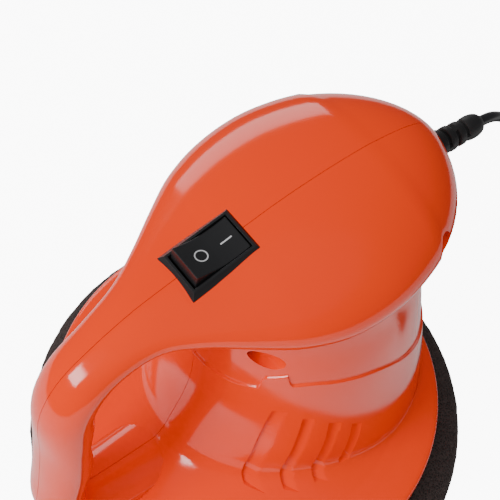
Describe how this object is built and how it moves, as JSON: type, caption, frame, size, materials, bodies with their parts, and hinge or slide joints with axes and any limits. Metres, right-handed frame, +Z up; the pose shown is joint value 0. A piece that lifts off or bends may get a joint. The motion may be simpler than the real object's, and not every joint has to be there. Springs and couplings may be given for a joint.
{
  "type": "rotary polisher",
  "caption": "Small loop-handled rotary polisher with a foam pad, geared offset motor, rocker switch and a coiled low-voltage lead with an accessory plug.",
  "frame": {"origin": "on the spindle axis, at the foam pad's working face", "axes": "+Z up along the spindle, away from the work; +X towards the cord; Y = 0 is the plane where the two housing shells meet"},
  "size_m": [0.2489, 0.137, 0.1185],
  "materials": {
    "housing": "very glossy moulded plastic",
    "switch_black": "satin moulded plastic",
    "rubber_black": "ribbed matte rubber",
    "cord_black": "smooth vinyl sheath",
    "plug_black": "satin moulded plastic",
    "inner_black": "matte moulded nylon",
    "foam": "open-cell foam",
    "hook": "hook tape",
    "steel": "bright steel",
    "zinc": "zinc-plated steel",
    "brass": "brass",
    "copper": "enamelled copper",
    "ferrite": "dull dark ferrite",
    "laminations": "stacked steel sheet",
    "gear_nylon": "natural nylon",
    "fan_nylon": "natural nylon",
    "wire_red": "vinyl insulation",
    "capacitor": "dipped ceramic",
    "fuse_glass": "clear glass",
    "lens_red": "clear red plastic"
  },
  "bodies": {
    "housing": {"housing_left": "housing", "housing_right": "housing", "housing_screws": "steel", "gearbox_cover": "inner_black", "cover_screws": "steel", "motor_plate": "zinc", "motor_screws": "steel", "lower_bearing_outer_ring": "steel", "lower_bearing_balls": "steel", "upper_bush": "brass", "motor_can": "zinc", "motor_end_cap": "inner_black", "motor_magnets": "ferrite", "motor_front_bush": "brass", "motor_rear_bush": "brass", "motor_brushes": "ferrite", "brush_springs": "brass", "motor_terminals": "brass", "noise_capacitor": "capacitor", "switch_frame": "switch_black", "switch_terminals": "brass", "strain_relief": "rubber_black", "cord_tail": "cord_black", "cord_clamp": "inner_black", "clamp_screws": "steel", "wire_to_switch": "wire_red", "wire_to_motor": "wire_red", "wire_return": "cord_black", "power_cord": "cord_black", "cord_coil": "cord_black", "cord_tie": "inner_black", "plug_cord": "cord_black", "plug_boot": "rubber_black", "plug_shell_top": "plug_black", "plug_shell_bottom": "plug_black", "plug_screw": "steel", "plug_side_contacts": "steel", "plug_cap": "plug_black", "plug_indicator": "lens_red"},
    "pad": {"foam_pad": "foam", "hook_disc": "hook", "backing_plate": "inner_black", "plate_screw": "steel", "spindle": "steel", "spindle_gear": "gear_nylon", "lower_bearing_inner_ring": "steel"},
    "armature": {"motor_shaft": "steel", "armature_core": "laminations", "armature_windings": "copper", "commutator": "copper", "motor_fan": "fan_nylon", "pinion": "brass"},
    "rocker": {"rocker": "switch_black", "rocker_plunger": "steel"},
    "contact_lever": {"contact_lever": "copper"},
    "plug_tip": {"plug_tip": "steel", "plug_fuse": "fuse_glass", "plug_spring": "steel"}
  },
  "joints": [
    {"name": "pad_spin", "type": "hinge", "parent": "housing", "child": "pad", "pos_m": [0, 0, 0.03], "axis": [0, 0, 1], "continuous": true},
    {"name": "armature_spin", "type": "hinge", "parent": "housing", "child": "armature", "pos_m": [0.018, 0, 0.07], "axis": [0, 0, 1], "continuous": true},
    {"name": "rocker_tilt", "type": "hinge", "parent": "housing", "child": "rocker", "pos_m": [-0.00911, 0, 0.11241], "axis": [0, 1, 0], "range_deg": [-22, 0]},
    {"name": "contact_lever_tilt", "type": "hinge", "parent": "housing", "child": "contact_lever", "pos_m": [-0.00763, 0, 0.10383], "axis": [0, 1, 0], "range_deg": [0, 12.1]},
    {"name": "plug_tip_slide", "type": "slide", "parent": "housing", "child": "plug_tip", "axis": [1, 0, 0], "range_m": [0, 0.0035], "stiffness_N_per_m": 600}
  ],
  "couplings": [
    {"joint": "armature_spin", "follows": "pad_spin", "ratio": -2.75},
    {"joint": "contact_lever_tilt", "follows": "rocker_tilt", "ratio": -0.545}
  ]
}
